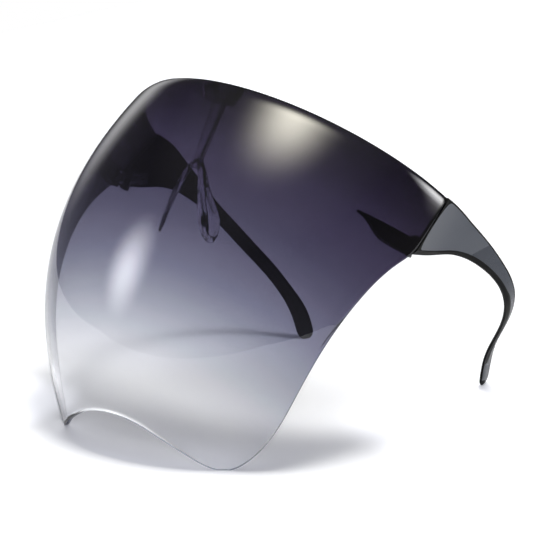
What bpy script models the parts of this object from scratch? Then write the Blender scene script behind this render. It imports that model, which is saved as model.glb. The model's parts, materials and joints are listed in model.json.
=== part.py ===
"""Face shield goggles: one wrap-around visor, two folding temples and a clear nose piece.

Everything is modelled as worn, with the temples level: X to the wearer's left, Y towards the
ears and Z up from the chin line. At the end the whole model is tipped back so that it rests on
the two lower lobes of the visor and on the two ear tips.
Lengths are in metres and angles in degrees.
"""

import math
from collections import namedtuple

import bmesh
import bpy
import numpy as np
from mathutils import Matrix, Vector

# Visor: a stack of half ellipses, each given at four heights from the chin line to the brow
BROW_HEIGHT = 0.139
CHIN_HALF_WIDTH = 0.052
CHEEK_HALF_WIDTH = 0.073
EYE_HALF_WIDTH = 0.0805
BROW_HALF_WIDTH = 0.075
CHIN_SECTION_DEPTH = 0.0455
CHEEK_SECTION_DEPTH = 0.058
EYE_SECTION_DEPTH = 0.067
BROW_SECTION_DEPTH = 0.072
CHIN_REACH = 0.0212
CHEEK_REACH = 0.0447
EYE_REACH = 0.0472
BROW_REACH = 0.0334
VISOR_WALL = 0.0016
BROW_DROP = 0.0126
JOINT_HEIGHT = 0.0267
CORNER_HEIGHT = BROW_HEIGHT - BROW_DROP - JOINT_HEIGHT
CORNER_BEARING = 82.7
BROW_CORNER_BEARING = 83.6
LOBE_BEARING = 60.8

# Temple: a blade between an upper and a lower edge, both measured from the visor's lower corner
TEMPLE_REACH = 0.113
TEMPLE_DROP = 0.0531
TEMPLE_INSET = 0.0318
TEMPLE_ROOT_THICKNESS = 0.0030
TEMPLE_TIP_THICKNESS = 0.0015
TEMPLE_EDGE_ROUND = 0.0005
TEMPLE_CHAMFER_HEIGHT = 0.0021
TEMPLE_CHAMFER_DEPTH = 0.0013
TEMPLE_EDGE_SHARE = 0.2
TEMPLE_CHAMFER_SHARE = 0.4
JOINT_GAP = 0.0009

# End piece: the dark wedge inside each corner of the visor, which carries the hinge
END_PIECE_HEIGHT = 0.0066
END_PIECE_DEPTH = 0.0028
END_PIECE_TIP_DEPTH = 0.0006
END_PIECE_FRONT_BEARING = 58.3
END_PIECE_REAR_BEARING = 81.6
END_PIECE_SINK = 0.0008
END_PIECE_TIP_RISE = 0.0014
END_PIECE_TIP_SHARE = 0.16
END_PIECE_BELLY_SHARE = 0.62
END_PIECE_SWELL_POWER = 2.2
END_PIECE_COLUMNS = 9

# Hinge: two knuckles on the end piece, one on the temple, and the screw through them
KNUCKLE_RADIUS = 0.0015
KNUCKLE_HEIGHT = 0.0023
KNUCKLE_SIDES = 20
HINGE_RISE = 0.0003
PIN_RADIUS = 0.0006
PIN_CLEARANCE = 0.00015
PIN_HEAD_RADIUS = 0.00115
PIN_HEAD_HEIGHT = 0.0006
PIN_SLOT_WIDTH = 0.0003
PIN_SLOT_DEPTH = 0.0003
LEAF_THICKNESS = 0.0008
LEAF_LENGTH = 0.0088
LEAF_HEIGHT = 0.0048
TEMPLE_LEAF_LIFT = 0.0018
LEAF_SCREW_SHARES = (0.30, 0.76)
LEAF_SCREW_RADIUS = 0.0005
LEAF_SCREW_LENGTH = 0.0022
LEAF_SCREW_HEAD_RADIUS = 0.00105
LEAF_SCREW_HEAD_HEIGHT = 0.0004
SCREW_SIDES = 12

# Nose piece: a mount under the brow, a tapering stem, and two teardrop pads on a fork
MOUNT_TOP_HALF_WIDTH = 0.0108
MOUNT_LOW_HALF_WIDTH = 0.0056
MOUNT_HEIGHT = 0.0075
MOUNT_BROW_MARGIN = 0.0008
MOUNT_TOP_DEPTH = 0.0022
MOUNT_LOW_DEPTH = 0.0077
MOUNT_ROWS = 4
MOUNT_COLUMNS = 6
TONGUE_WIDTH = 0.0048
TONGUE_THICKNESS = 0.0016
TONGUE_LENGTH = 0.0060
STEM_TOP_WIDTH = 0.0062
STEM_LOW_WIDTH = 0.0038
STEM_TOP_THICKNESS = 0.0036
STEM_LOW_THICKNESS = 0.0027
STEM_LENGTH = 0.0263
STEM_STEPS = 6
PAD_LENGTH = 0.0278
PAD_NECK_WIDTH = 0.0030
PAD_WIDTH = 0.0090
PAD_THICKNESS = 0.0022
PAD_SPREAD = 0.0132
PAD_SETBACK = 0.0082
PAD_SPLAY = 48.0
FORK_SPREAD = 0.0026
PAD_TIP_SHARE = 0.9
PAD_TIP_THICKNESS_SHARE = 0.55
OVAL_POWER = 0.7

SEAT_GAP = 0.0003
OVERRUN = 0.002
FOOT_DEPTH = 0.0003
SHARP_ANGLE = 30.0
BLUNT_ANGLE = 40.0

STACK_HEIGHT = 3.0 * KNUCKLE_HEIGHT + 2.0 * SEAT_GAP
LEAF_SEAT = KNUCKLE_RADIUS + SEAT_GAP
HINGE_STATIONS = 4

STATION_SHARES = (0.0, 1.0 / 3.0, 2.0 / 3.0, 1.0)
HALF_WIDTHS = (CHIN_HALF_WIDTH, CHEEK_HALF_WIDTH, EYE_HALF_WIDTH, BROW_HALF_WIDTH)
SECTION_DEPTHS = (CHIN_SECTION_DEPTH, CHEEK_SECTION_DEPTH, EYE_SECTION_DEPTH, BROW_SECTION_DEPTH)
REACHES = (CHIN_REACH, CHEEK_REACH, EYE_REACH, BROW_REACH)

# The free lower edge from the centre of the chin round the lobe to the corner:
# bearing in degrees, then height as a share of the corner's height
EDGE_SHARES = (
    (0.0, 0.0558),
    (12.0, 0.0481),
    (24.0, 0.023),
    (36.0, -0.0007),
    (48.5, -0.016),
    (LOBE_BEARING, 0.0191),
    (68.6, 0.128),
    (70.8, 0.349),
    (71.2, 0.544),
    (74.1, 0.775),
    (78.6, 0.926),
)
LOBE_POINT = 5
EDGE_SAMPLES = 1201
VISOR_HALF_COLUMNS = 14
SIDE_ROWS = 16
JOINT_ROWS = 4

# Rails of the temple: shares of its inset, reach and drop for the upper edge, then the lower one
TEMPLE_RAIL_SHARES = (
    ((0.09, 0.096, 0.0), (0.0, 0.0, 0.548)),
    ((0.1, 0.18, 0.014), (0.05, 0.11, 0.432)),
    ((0.082, 0.268, 0.061), (0.055, 0.215, 0.345)),
    ((0.06, 0.366, 0.113), (0.045, 0.327, 0.308)),
    ((0.05, 0.468, 0.178), (0.055, 0.44, 0.32)),
    ((0.07, 0.566, 0.25), (0.095, 0.543, 0.358)),
    ((0.175, 0.658, 0.318), (0.165, 0.63, 0.412)),
    ((0.36, 0.747, 0.408), (0.28, 0.7, 0.478)),
    ((0.59, 0.826, 0.512), (0.445, 0.766, 0.552)),
    ((0.83, 0.898, 0.64), (0.66, 0.831, 0.655)),
    ((0.975, 0.962, 0.755), (0.86, 0.893, 0.792)),
    ((1.03, 0.995, 0.846), (0.949, 0.945, 0.922)),
)
TEMPLE_STATIONS = 30
TIP_STATIONS = 5

# Width of a pad along its length, as shares of its full width
PAD_WIDTH_SHARES = (
    (0.0, 0.33),
    (0.15, 0.36),
    (0.35, 0.52),
    (0.55, 0.80),
    (0.75, 1.0),
    (0.9, 0.80),
    (1.0, 0.28),
)

# Middle line of a pad after the fork: shares of its spread, setback and length
PAD_PATH_SHARES = ((0.52, 0.30, 0.40), (0.82, 0.68, 0.72), (1.0, 1.0, 1.0))
FORK_PATH_SHARES = (0.04, 0.07)
PAD_STATIONS = 13
PAD_SIDES = 10

# Where a hinge leaf lies: the hinge axis, the leaf's direction and outward side, how far it is
# lifted and how it climbs along its length, and the origin of the mesh that it becomes
Seat = namedtuple("Seat", "axis direction outward lift slope origin")

VISOR_TINT = (0.17, 0.16, 0.24, 1.0)
TEMPLE_BLACK = (0.012, 0.012, 0.013, 1.0)
HINGE_METAL = (0.10, 0.10, 0.11, 1.0)
NOSE_CLEAR = (0.75, 0.74, 0.80, 1.0)


def clear_scene():
    for obj in list(bpy.data.objects):
        bpy.data.objects.remove(obj, do_unlink=True)


def make_material(name, colour, roughness, metallic=0.0, alpha=1.0, transmission=0.0):
    material = bpy.data.materials.new(name)
    material.use_nodes = True
    shader = material.node_tree.nodes["Principled BSDF"]
    shader.inputs["Base Color"].default_value = colour
    shader.inputs["Roughness"].default_value = roughness
    shader.inputs["Metallic"].default_value = metallic
    shader.inputs["Alpha"].default_value = alpha
    shader.inputs["Transmission Weight"].default_value = transmission
    return material


def through_stations(share, values):
    """The cubic through the four station values, at a share of the brow height."""
    total = 0.0
    for i, value in enumerate(values):
        weight = 1.0
        for j, station in enumerate(STATION_SHARES):
            if j != i:
                weight *= (share - station) / (STATION_SHARES[i] - station)
        total += weight * value
    return total


def visor_point(bearing, height):
    """Outer face of the visor at a bearing from straight ahead and a height above the chin."""
    share = height / BROW_HEIGHT
    angle = math.radians(bearing)
    half_width = through_stations(share, HALF_WIDTHS)
    depth = through_stations(share, SECTION_DEPTHS)
    reach = through_stations(share, REACHES)
    return Vector((half_width * math.sin(angle), depth * (1.0 - math.cos(angle)) - reach, height))


def visor_normal(bearing, height):
    """Unit normal of the visor, pointing out of the hollow."""
    turn_step = 0.1
    rise_step = BROW_HEIGHT / 500.0
    across = visor_point(bearing + turn_step, height) - visor_point(bearing - turn_step, height)
    rise = visor_point(bearing, height + rise_step) - visor_point(bearing, height - rise_step)
    return across.cross(rise).normalized()


def brow_height(bearing):
    full_turn = 1.0 - math.cos(math.radians(BROW_CORNER_BEARING))
    return BROW_HEIGHT - BROW_DROP * (1.0 - math.cos(math.radians(bearing))) / full_turn


def smooth_curve(points, steps):
    """Points evenly spread by chord length on a natural cubic spline through the given ones."""
    points = np.array(points, float)
    spans = np.linalg.norm(np.diff(points, axis=0), axis=1)
    places = np.concatenate([[0.0], np.cumsum(spans)])
    count = len(points)
    matrix = np.eye(count)
    right = np.zeros_like(points)
    for i in range(1, count - 1):
        matrix[i, i - 1] = spans[i - 1]
        matrix[i, i] = 2.0 * (spans[i - 1] + spans[i])
        matrix[i, i + 1] = spans[i]
        after = (points[i + 1] - points[i]) / spans[i]
        before = (points[i] - points[i - 1]) / spans[i - 1]
        right[i] = 6.0 * (after - before)
    bends = np.linalg.solve(matrix, right)
    result = []
    for place in np.asarray(steps, float) * places[-1]:
        i = min(int(np.searchsorted(places, place, side="right")) - 1, count - 2)
        span = spans[i]
        late = (place - places[i]) / span
        early = 1.0 - late
        result.append(
            early * points[i]
            + late * points[i + 1]
            + ((early**3 - early) * bends[i] + (late**3 - late) * bends[i + 1]) * span**2 / 6.0
        )
    return np.array(result)


def edge_path():
    """The free lower edge as (bearing, height) points: chin centre to lobe, lobe to corner."""
    degree = math.radians(1.0) * CHEEK_HALF_WIDTH
    right = [(bearing * degree, share * CORNER_HEIGHT) for bearing, share in EDGE_SHARES]
    right.append((CORNER_BEARING * degree, CORNER_HEIGHT))
    left = [(-across, height) for across, height in reversed(right[1:])]
    whole = smooth_curve(left + right, np.linspace(0.0, 1.0, EDGE_SAMPLES))
    half = whole[len(whole) // 2 :]
    lobe = int(np.argmin(np.hypot(*(half - np.array(right[LOBE_POINT])).T)))
    scale = np.array([1.0 / degree, 1.0])
    return half[: lobe + 1] * scale, half[lobe:] * scale


def resampled(path, count):
    """Evenly spaced points along a dense (bearing, height) path."""
    flat = path * np.array([math.radians(1.0) * CHEEK_HALF_WIDTH, 1.0])
    places = np.concatenate([[0.0], np.cumsum(np.linalg.norm(np.diff(flat, axis=0), axis=1))])
    wanted = np.linspace(0.0, places[-1], count)
    return np.stack([np.interp(wanted, places, path[:, k]) for k in range(2)], axis=1)


def visor_grid():
    """Rows of (bearing, height) from chin to brow over the right half, fitted to the outline."""
    chin, side = edge_path()
    bottom = resampled(chin, VISOR_HALF_COLUMNS + 1)
    side_edge = resampled(side, SIDE_ROWS + 1)
    corner_top = np.array([BROW_CORNER_BEARING, brow_height(BROW_CORNER_BEARING)])
    joint_steps = np.linspace(0.0, 1.0, JOINT_ROWS + 1)[1:, None]
    joint_edge = side_edge[-1] + (corner_top - side_edge[-1]) * joint_steps
    right = np.concatenate([side_edge, joint_edge])
    rows = len(right) - 1
    columns = VISOR_HALF_COLUMNS
    rises = np.linspace(0.0, 1.0, rows + 1)
    turns = np.linspace(0.0, 1.0, columns + 1)
    left = np.stack([0.0 * rises, bottom[0, 1] + (BROW_HEIGHT - bottom[0, 1]) * rises], axis=1)
    bearings = BROW_CORNER_BEARING * turns
    top = np.array([(bearing, brow_height(bearing)) for bearing in bearings])
    grid = np.empty((rows + 1, columns + 1, 2))
    for j, rise in enumerate(rises):
        for i, turn in enumerate(turns):
            along = (1.0 - rise) * bottom[i] + rise * top[i]
            across = (1.0 - turn) * left[j] + turn * right[j]
            corners = (1.0 - rise) * ((1.0 - turn) * bottom[0] + turn * bottom[-1])
            corners = corners + rise * ((1.0 - turn) * top[0] + turn * top[-1])
            grid[j, i] = along + across - corners
    return grid


def link(name, mesh, material, parent):
    obj = bpy.data.objects.new(name, mesh)
    bpy.context.scene.collection.objects.link(obj)
    obj.data.materials.append(material)
    obj.parent = parent
    return obj


def mesh_from(name, points, faces):
    mesh = bpy.data.meshes.new(name)
    mesh.from_pydata([tuple(point) for point in points], [], faces)
    mesh.update()
    return mesh


def facing_out(mesh):
    """Turns all faces of a closed mesh outwards."""
    bm = bmesh.new()
    bm.from_mesh(mesh)
    bmesh.ops.recalc_face_normals(bm, faces=bm.faces)
    bm.to_mesh(mesh)
    bm.free()
    return mesh


def shade(mesh, angle=SHARP_ANGLE):
    mesh.shade_smooth()
    mesh.set_sharp_from_angle(angle=math.radians(angle))


def make_visor(material, parent):
    grid = visor_grid()
    rows, columns = grid.shape[0] - 1, grid.shape[1] - 1
    points = []
    for row in grid:
        mirrored = [(-bearing, height) for bearing, height in row[:0:-1]]
        for bearing, height in mirrored + [tuple(cell) for cell in row]:
            points.append(visor_point(bearing, height))
    width = 2 * columns + 1
    faces = []
    for j in range(rows):
        for i in range(width - 1):
            first = j * width + i
            faces.append((first, first + 1, first + width + 1, first + width))
    mesh = mesh_from("visor", points, faces)
    visor = link("visor", mesh, material, parent)
    wall = visor.modifiers.new("wall", "SOLIDIFY")
    wall.thickness = VISOR_WALL
    wall.offset = -1.0
    wall.use_even_offset = True
    bake(visor)
    shade(visor.data)
    return visor


def bake(obj):
    """Replaces the object's mesh by what its modifiers make of it."""
    graph = bpy.context.evaluated_depsgraph_get()
    made = bpy.data.meshes.new_from_object(obj.evaluated_get(graph))
    obj.modifiers.clear()
    obj.data = made


def subtract(obj, cutters):
    """Cuts each mesh in turn out of the object."""
    combine(obj, cutters, "DIFFERENCE")


def unite(obj, others):
    combine(obj, others, "UNION")


def combine(obj, meshes, operation):
    helpers = []
    for k, mesh in enumerate(meshes):
        helper = bpy.data.objects.new(obj.name + "_helper", mesh)
        bpy.context.scene.collection.objects.link(helper)
        helper.parent = obj.parent
        helper.location = obj.location
        helper.hide_render = True
        helper.display_type = "WIRE"
        modifier = obj.modifiers.new(operation.lower() + str(k), "BOOLEAN")
        modifier.operation = operation
        modifier.solver = "EXACT"
        modifier.object = helper
        helpers.append(helper)
    bpy.context.view_layer.update()
    bake(obj)
    for helper in helpers:
        bpy.data.objects.remove(helper, do_unlink=True)


def loft(rings):
    """A closed skin over rings with equally many points, with flat ends."""
    count = len(rings[0])
    points = [point for ring in rings for point in ring]
    faces = [tuple(range(count))]
    for k in range(len(rings) - 1):
        for i in range(count):
            after = (i + 1) % count
            low, high = k * count, (k + 1) * count
            faces.append((low + i, low + after, high + after, high + i))
    faces.append(tuple(range(len(points) - 1, len(points) - count - 1, -1)))
    return points, faces


def cylinder(start, direction, radius, length, sides=16):
    """A cylinder from a point along a direction."""
    bm = bmesh.new()
    bmesh.ops.create_cone(
        bm, cap_ends=True, segments=sides, radius1=radius, radius2=radius, depth=length
    )
    turn = Vector((0.0, 0.0, 1.0)).rotation_difference(direction).to_matrix().to_4x4()
    centre = Vector(start) + direction * length / 2.0
    bmesh.ops.transform(bm, matrix=Matrix.Translation(centre) @ turn, verts=bm.verts)
    mesh = bpy.data.meshes.new("cylinder")
    bm.to_mesh(mesh)
    bm.free()
    return mesh


def block(centre, axes, sizes):
    """A box about a centre, with its sides along three unit vectors."""
    bm = bmesh.new()
    bmesh.ops.create_cube(bm, size=1.0)
    turn = Matrix((axes[0], axes[1], axes[2])).transposed().to_4x4()
    scale = Matrix.Diagonal((*sizes, 1.0))
    bmesh.ops.transform(bm, matrix=Matrix.Translation(centre) @ turn @ scale, verts=bm.verts)
    bmesh.ops.recalc_face_normals(bm, faces=bm.faces)
    mesh = bpy.data.meshes.new("block")
    bm.to_mesh(mesh)
    bm.free()
    return mesh


def temple_rails():
    """Upper and lower edge of the left temple's outer face, and its thickness, by station."""
    corner = visor_point(CORNER_BEARING, CORNER_HEIGHT)
    brow_corner = visor_point(BROW_CORNER_BEARING, brow_height(BROW_CORNER_BEARING))
    upper, lower = [], []
    for upper_shares, lower_shares in TEMPLE_RAIL_SHARES:
        for rail, (inset, reach, drop) in ((upper, upper_shares), (lower, lower_shares)):
            rail.append(
                (
                    corner.x - inset * TEMPLE_INSET,
                    corner.y + reach * TEMPLE_REACH,
                    brow_corner.z - drop * TEMPLE_DROP,
                )
            )
    upper[0] = tuple(brow_corner)
    lower[0] = tuple(corner)
    steps = np.linspace(0.0, 1.0, TEMPLE_STATIONS)
    upper = smooth_curve(upper, steps)
    lower = smooth_curve(lower, steps)
    return upper, lower


def temple_frames():
    """Station frames of the left temple: edges, unit vectors up and in, and thickness."""
    upper, lower = temple_rails()
    middle = (upper + lower) / 2.0
    frames = []
    for k in range(TEMPLE_STATIONS):
        share = k / (TEMPLE_STATIONS - 1.0)
        ahead = middle[min(k + 1, TEMPLE_STATIONS - 1)] - middle[max(k - 1, 0)]
        rise = Vector(upper[k] - lower[k])
        inward = Vector(ahead).cross(rise).normalized()
        if inward.x > 0.0:
            inward.negate()
        thickness = TEMPLE_ROOT_THICKNESS + (TEMPLE_TIP_THICKNESS - TEMPLE_ROOT_THICKNESS) * share
        frames.append((Vector(upper[k]), Vector(lower[k]), rise.normalized(), inward, thickness))
    return frames


def temple_ring(upper, lower, rise, inward, thickness, squeeze=1.0):
    """Section of the blade: outer face with a chamfer along its lower edge, rounded elsewhere."""
    height = (upper - lower).length * squeeze
    depth = thickness * squeeze
    centre = (upper + lower) / 2.0 + inward * thickness / 2.0
    edge = min(TEMPLE_EDGE_ROUND, height * TEMPLE_EDGE_SHARE, depth * TEMPLE_EDGE_SHARE)
    chamfer_height = min(TEMPLE_CHAMFER_HEIGHT, height * TEMPLE_CHAMFER_SHARE)
    chamfer_depth = min(TEMPLE_CHAMFER_DEPTH, depth * TEMPLE_CHAMFER_SHARE)
    half_height, half_depth = height / 2.0, depth / 2.0
    outline = (
        (-half_depth, half_height - edge),
        (edge - half_depth, half_height),
        (half_depth - edge, half_height),
        (half_depth, half_height - edge),
        (half_depth, edge - half_height),
        (half_depth - edge, -half_height),
        (chamfer_depth - half_depth, -half_height),
        (-half_depth, chamfer_height - half_height),
    )
    return [centre + inward * across + rise * up for across, up in outline]


def make_temple(material, pivot, origin):
    frames = temple_frames()
    back = Vector((0.0, 1.0, 0.0))
    shift = back * JOINT_GAP
    rings = []
    for upper, lower, rise, inward, thickness in frames:
        rings.append(temple_ring(upper + shift, lower + shift, rise, inward, thickness))
    upper, lower, rise, inward, thickness = frames[-1]
    before = (frames[-2][0] + frames[-2][1]) / 2.0
    ahead = ((upper + lower) / 2.0 - before).normalized()
    half = (upper - lower).length / 2.0
    for k in range(1, TIP_STATIONS + 1):
        angle = math.pi / 2.0 * k / (TIP_STATIONS + 0.6)
        move = shift + ahead * half * math.sin(angle)
        rings.append(temple_ring(upper + move, lower + move, rise, inward, thickness, math.cos(angle)))
    rings = [[point - origin for point in ring] for ring in rings]
    mesh = facing_out(mesh_from("left_temple", *loft(rings)))
    shade(mesh, BLUNT_ANGLE)
    return link("left_temple", mesh, material, pivot)


def end_piece_plane():
    """A point and two unit vectors (rearward, inward) of the end piece's flat inner face."""
    height = CORNER_HEIGHT + END_PIECE_HEIGHT / 2.0
    rear = visor_point(END_PIECE_REAR_BEARING, height)
    front = visor_point(END_PIECE_FRONT_BEARING, height)
    rear_depth = VISOR_WALL + SEAT_GAP + END_PIECE_DEPTH
    front_depth = VISOR_WALL + SEAT_GAP + END_PIECE_TIP_DEPTH
    rear = rear - visor_normal(END_PIECE_REAR_BEARING, height) * rear_depth
    front = front - visor_normal(END_PIECE_FRONT_BEARING, height) * front_depth
    rear.z = front.z = 0.0
    rearward = (rear - front).normalized()
    inward = Vector((-rearward.y, rearward.x, 0.0))
    return rear, rearward, inward


def hinge_foot():
    """Height of the underside of the lowest knuckle."""
    return CORNER_HEIGHT - END_PIECE_SINK + HINGE_RISE


def temple_plane():
    """The upright plane inside the temple's inner face behind the hinge: point, rearward, outward."""
    middle = hinge_foot() + STACK_HEIGHT / 2.0 + TEMPLE_LEAF_LIFT
    shift = Vector((0.0, JOINT_GAP, 0.0))
    rows = []
    for height in (middle - LEAF_HEIGHT / 2.0, middle, middle + LEAF_HEIGHT / 2.0):
        row = []
        for upper, lower, rise, inward, thickness in temple_frames()[:HINGE_STATIONS]:
            share = (height - lower.z) / (upper.z - lower.z)
            face = lower + (upper - lower) * share + shift + inward * thickness
            row.append(Vector((face.x, face.y, 0.0)))
        rows.append(row)
    rearward = (rows[1][-1] - rows[1][0]).normalized()
    outward = Vector((rearward.y, -rearward.x, 0.0))
    innermost = min((face for row in rows for face in row), key=lambda face: face.dot(outward))
    return innermost, rearward, outward


def temple_lower_slope():
    """Rise of the temple's lower edge for each unit of length behind the hinge."""
    frames = temple_frames()
    run = frames[HINGE_STATIONS][1] - frames[0][1]
    return run.z / math.hypot(run.x, run.y)


def hinge_axis():
    """Foot of the left hinge's axis: upright, and clear of both leaf seats by a knuckle."""
    rear, rearward, inward = end_piece_plane()
    face, temple_rearward, outward = temple_plane()
    lines = np.array([inward[:2], outward[:2]])
    reach = np.array([rear.dot(inward) + LEAF_SEAT, face.dot(outward) - LEAF_SEAT])
    x, y = np.linalg.solve(lines, reach)
    return Vector((x, y, hinge_foot()))


def end_piece_heights(share):
    """Lower and upper edge of the end piece, from its pointed front at 0 to its rear at 1."""
    top = CORNER_HEIGHT + END_PIECE_HEIGHT - END_PIECE_SINK + END_PIECE_TIP_RISE * (1.0 - share)
    belly = math.sin(min(1.0, share / END_PIECE_BELLY_SHARE) * math.pi / 2.0) ** END_PIECE_SWELL_POWER
    low = top - END_PIECE_HEIGHT * (END_PIECE_TIP_SHARE + (1.0 - END_PIECE_TIP_SHARE) * belly)
    return low, top


def make_end_piece(material, parent):
    """The wedge between the curved inner face of the visor and the flat hinge seat."""
    rear, rearward, inward = end_piece_plane()
    rings = []
    for k in range(END_PIECE_COLUMNS + 1):
        share = k / END_PIECE_COLUMNS
        bearing = END_PIECE_FRONT_BEARING + (END_PIECE_REAR_BEARING - END_PIECE_FRONT_BEARING) * share
        ring = []
        for height in end_piece_heights(share):
            normal = visor_normal(bearing, height)
            ring.append(visor_point(bearing, height) - normal * (VISOR_WALL + SEAT_GAP))
        for point in reversed(ring[:2]):
            flat = Vector((point.x, point.y, 0.0)) - rear
            on_plane = rear + rearward * flat.dot(rearward)
            depth = max((on_plane - Vector((point.x, point.y, 0.0))).dot(inward), END_PIECE_TIP_DEPTH)
            ring.append(point + inward * depth)
        rings.append(ring)
    mesh = facing_out(mesh_from("left_end_piece", *loft(rings)))
    shade(mesh)
    return link("left_end_piece", mesh, material, parent)


def leaf_screw_places():
    """Distances of the two leaf screws from the hinge axis, along the leaf."""
    return [LEAF_SEAT + LEAF_LENGTH * share for share in LEAF_SCREW_SHARES]


def leaf_place(seat, distance):
    """A point on a leaf's centre line, at a level distance from the hinge axis."""
    middle = seat.axis.z + STACK_HEIGHT / 2.0 + seat.lift + seat.slope * (distance - LEAF_SEAT)
    return Vector((seat.axis.x, seat.axis.y, middle)) + seat.direction * distance - seat.origin


def knuckle(centre, low, web_offsets, seat):
    """A knuckle round the axis with a web out to its leaf, as the hull of both."""
    bm = bmesh.new()
    web_end = LEAF_SEAT + LEAF_THICKNESS
    for height in (low, low + KNUCKLE_HEIGHT):
        middle = Vector((centre.x, centre.y, height))
        for k in range(KNUCKLE_SIDES):
            angle = 2.0 * math.pi * k / KNUCKLE_SIDES
            spoke = Vector((math.cos(angle), math.sin(angle), 0.0))
            bm.verts.new(middle + spoke * KNUCKLE_RADIUS)
        for offset in web_offsets:
            bm.verts.new(middle + seat.direction * web_end + seat.outward * offset)
    hull = bmesh.ops.convex_hull(bm, input=bm.verts)
    spare = [item for item in hull["geom_interior"] if isinstance(item, bmesh.types.BMVert)]
    bmesh.ops.delete(bm, geom=spare, context="VERTS")
    bmesh.ops.recalc_face_normals(bm, faces=bm.faces)
    mesh = bpy.data.meshes.new("knuckle")
    bm.to_mesh(mesh)
    bm.free()
    return mesh


def make_leaf(name, material, parent, seat, knuckle_lows):
    """A hinge leaf: a plate on its seat, its knuckles, the pin's bore and two screw holes."""
    outer = LEAF_SEAT - SEAT_GAP
    inner = outer - LEAF_THICKNESS
    up = Vector((0.0, 0.0, 1.0))
    along = (seat.direction + up * seat.slope).normalized()
    centre = leaf_place(seat, LEAF_SEAT + LEAF_LENGTH / 2.0) + seat.outward * (outer + inner) / 2.0
    axes = (along, seat.outward, along.cross(seat.outward))
    leaf = link(name, block(centre, axes, (LEAF_LENGTH, LEAF_THICKNESS, LEAF_HEIGHT)), material, parent)
    foot = seat.axis - seat.origin
    trim = LEAF_THICKNESS / 20.0
    web_offsets = (inner + trim, outer - trim)
    unite(leaf, [knuckle(foot, low - seat.origin.z, web_offsets, seat) for low in knuckle_lows])
    bore_length = STACK_HEIGHT + 2.0 * OVERRUN
    holes = [cylinder(foot - up * OVERRUN, up, PIN_RADIUS + PIN_CLEARANCE, bore_length)]
    hole_length = LEAF_THICKNESS + 2.0 * OVERRUN
    for distance in leaf_screw_places():
        start = leaf_place(seat, distance) + seat.outward * (inner - OVERRUN)
        hole_radius = LEAF_SCREW_RADIUS + PIN_CLEARANCE
        holes.append(cylinder(start, seat.outward, hole_radius, hole_length, SCREW_SIDES))
    subtract(leaf, holes)
    shade(leaf.data)
    return leaf


def make_leaf_screws(prefix, material, parent, seat, carrier):
    """The leaf's two screws, and the blind holes that they need in the plastic behind it."""
    under_leaf = KNUCKLE_RADIUS - LEAF_THICKNESS - SEAT_GAP / 2.0
    shank_length = SEAT_GAP / 2.0 + LEAF_THICKNESS + SEAT_GAP + LEAF_SCREW_LENGTH
    screws, holes = [], []
    for k, distance in enumerate(leaf_screw_places()):
        place = leaf_place(seat, distance)
        foot = place + seat.outward * under_leaf
        shank = cylinder(foot, seat.outward, LEAF_SCREW_RADIUS, shank_length, SCREW_SIDES)
        screw = link(prefix + str(k + 1), shank, material, parent)
        head_foot = foot + seat.outward * LEAF_SCREW_HEAD_HEIGHT / 8.0
        unite(screw, [cylinder(head_foot, -seat.outward, LEAF_SCREW_HEAD_RADIUS, LEAF_SCREW_HEAD_HEIGHT)])
        shade(screw.data)
        screws.append(screw)
        start = place + seat.outward * (LEAF_SEAT - OVERRUN)
        depth = OVERRUN + LEAF_SCREW_LENGTH + SEAT_GAP
        hole_radius = LEAF_SCREW_RADIUS + PIN_CLEARANCE
        holes.append(cylinder(start, seat.outward, hole_radius, depth, SCREW_SIDES))
    subtract(carrier, holes)
    shade(carrier.data, BLUNT_ANGLE)
    return screws


def make_pin(material, parent, axis):
    """The hinge screw: a slotted head over the top knuckle and a plain shank through all three."""
    up = Vector((0.0, 0.0, 1.0))
    head_foot = axis + up * (STACK_HEIGHT + SEAT_GAP / 2.0)
    shank = cylinder(axis, up, PIN_RADIUS, STACK_HEIGHT + SEAT_GAP)
    pin = link("left_hinge_screw", shank, material, parent)
    unite(pin, [cylinder(head_foot, up, PIN_HEAD_RADIUS, PIN_HEAD_HEIGHT, KNUCKLE_SIDES)])
    slot_centre = head_foot + up * PIN_HEAD_HEIGHT
    axes = (Vector((1.0, 0.0, 0.0)), Vector((0.0, 1.0, 0.0)), up)
    slot_sizes = (PIN_SLOT_WIDTH, 2.0 * PIN_HEAD_RADIUS + OVERRUN, 2.0 * PIN_SLOT_DEPTH)
    subtract(pin, [block(slot_centre, axes, slot_sizes)])
    shade(pin.data)
    return pin


def seat_behind_brow(across, height):
    """Y of a seat behind the visor's wall, at a distance from the middle and a height."""
    bearing = math.degrees(math.asin(across / through_stations(height / BROW_HEIGHT, HALF_WIDTHS)))
    outer = visor_point(bearing, height)
    return outer.y + (VISOR_WALL + SEAT_GAP) / abs(visor_normal(bearing, height).y)


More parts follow.
